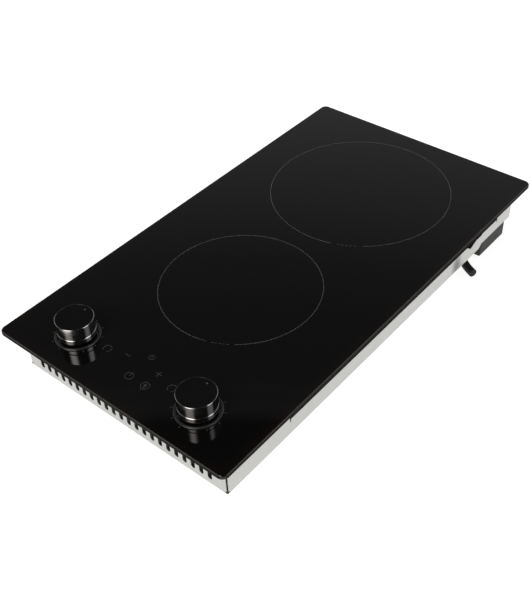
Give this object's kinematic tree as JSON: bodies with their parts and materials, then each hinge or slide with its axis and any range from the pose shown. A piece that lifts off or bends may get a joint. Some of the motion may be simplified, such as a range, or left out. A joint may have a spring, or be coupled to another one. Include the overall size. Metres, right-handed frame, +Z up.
{
  "type": "built-in glass-ceramic hob",
  "caption": "Narrow built-in black glass hob with round cooking zones, rotary knobs at the front, a steel tray below and a mains cord.",
  "frame": {"origin": "centre of the plane where the glass rim's seal rests on the worktop", "axes": "+X to the right, +Y to the rear (away from the knobs), +Z up out of the worktop"},
  "size_m": [0.288, 0.52, 0.0974],
  "materials": {
    "glass_ceramic": "polished black glass-ceramic with ground edge",
    "seal_foam": "soft closed-cell foam",
    "tray_steel": "galvanised sheet, satin",
    "rail_steel": "matt black paint",
    "insulation": "pressed microporous board, matt",
    "ribbon_alloy": "oxidised resistance ribbon",
    "ceramic": "unglazed steatite",
    "knob_metal": "black chrome, polished",
    "knob_gloss": "polished black",
    "knob_mark": "printed white",
    "bezel_metal": "dark grey satin",
    "dark_plastic": "moulded flame-retardant plastic, fine texture",
    "shaft_steel": "turned steel",
    "circuit_board": "solder resist over glass epoxy",
    "component_plastic": "moulded component bodies",
    "wire_insulation": "silicone wire insulation",
    "label_foil": "blank foil label",
    "cord_rubber": "rubber-sheathed cable, matt"
  },
  "bodies": {
    "hob": {"board_carrier": "dark_plastic", "board_standoffs": "tray_steel", "board_terminals": "component_plastic", "capacitors": "component_plastic", "cord_clamp": "dark_plastic", "cord_coil": "cord_rubber", "cord_lead": "cord_rubber", "cord_strain_relief": "cord_rubber", "cord_tail": "cord_rubber", "cord_ties": "dark_plastic", "earth_screw": "tray_steel", "encoder_nuts": "tray_steel", "front_bracket": "rail_steel", "front_heater_dish": "tray_steel", "front_heater_insulation": "insulation", "front_heater_limiter": "ceramic", "front_heater_ribbon": "ribbon_alloy", "front_heater_ring": "insulation", "front_heater_springs": "tray_steel", "glass_panel": "glass_ceramic", "heat_barrier": "tray_steel", "heater_wires": "wire_insulation", "left_bezel": "bezel_metal", "left_encoder": "dark_plastic", "left_rail": "rail_steel", "mains_wires": "wire_insulation", "power_board": "circuit_board", "power_relays": "component_plastic", "rail_adhesive": "seal_foam", "rating_plate": "label_foil", "rear_bracket": "rail_steel", "rear_heater_dish": "tray_steel", "rear_heater_insulation": "insulation", "rear_heater_limiter": "ceramic", "rear_heater_ribbon": "ribbon_alloy", "rear_heater_ring": "insulation", "rear_heater_springs": "tray_steel", "right_bezel": "bezel_metal", "right_encoder": "dark_plastic", "right_rail": "rail_steel", "seal_strip": "seal_foam", "terminal_block": "ceramic", "terminal_box": "dark_plastic", "terminal_box_lid": "dark_plastic", "terminal_box_screws": "shaft_steel", "touch_board": "circuit_board", "touch_springs": "shaft_steel", "transformer": "component_plastic", "tray": "tray_steel", "tray_screws": "tray_steel"},
    "left_knob": {"left_knob_shell": "knob_metal", "left_knob_cap": "knob_gloss", "left_knob_dot": "knob_mark", "left_knob_hub": "dark_plastic", "left_knob_shaft": "shaft_steel"},
    "right_knob": {"right_knob_shell": "knob_metal", "right_knob_cap": "knob_gloss", "right_knob_dot": "knob_mark", "right_knob_hub": "dark_plastic", "right_knob_shaft": "shaft_steel"}
  },
  "joints": [
    {"name": "left_knob_turn", "type": "hinge", "parent": "hob", "child": "left_knob", "pos_m": [-0.0776, -0.2174, 0.0055], "axis": [0, 0, 1], "range_deg": [-270, 0]},
    {"name": "right_knob_turn", "type": "hinge", "parent": "hob", "child": "right_knob", "pos_m": [0.0776, -0.2174, 0.0055], "axis": [0, 0, 1], "range_deg": [-270, 0]}
  ]
}
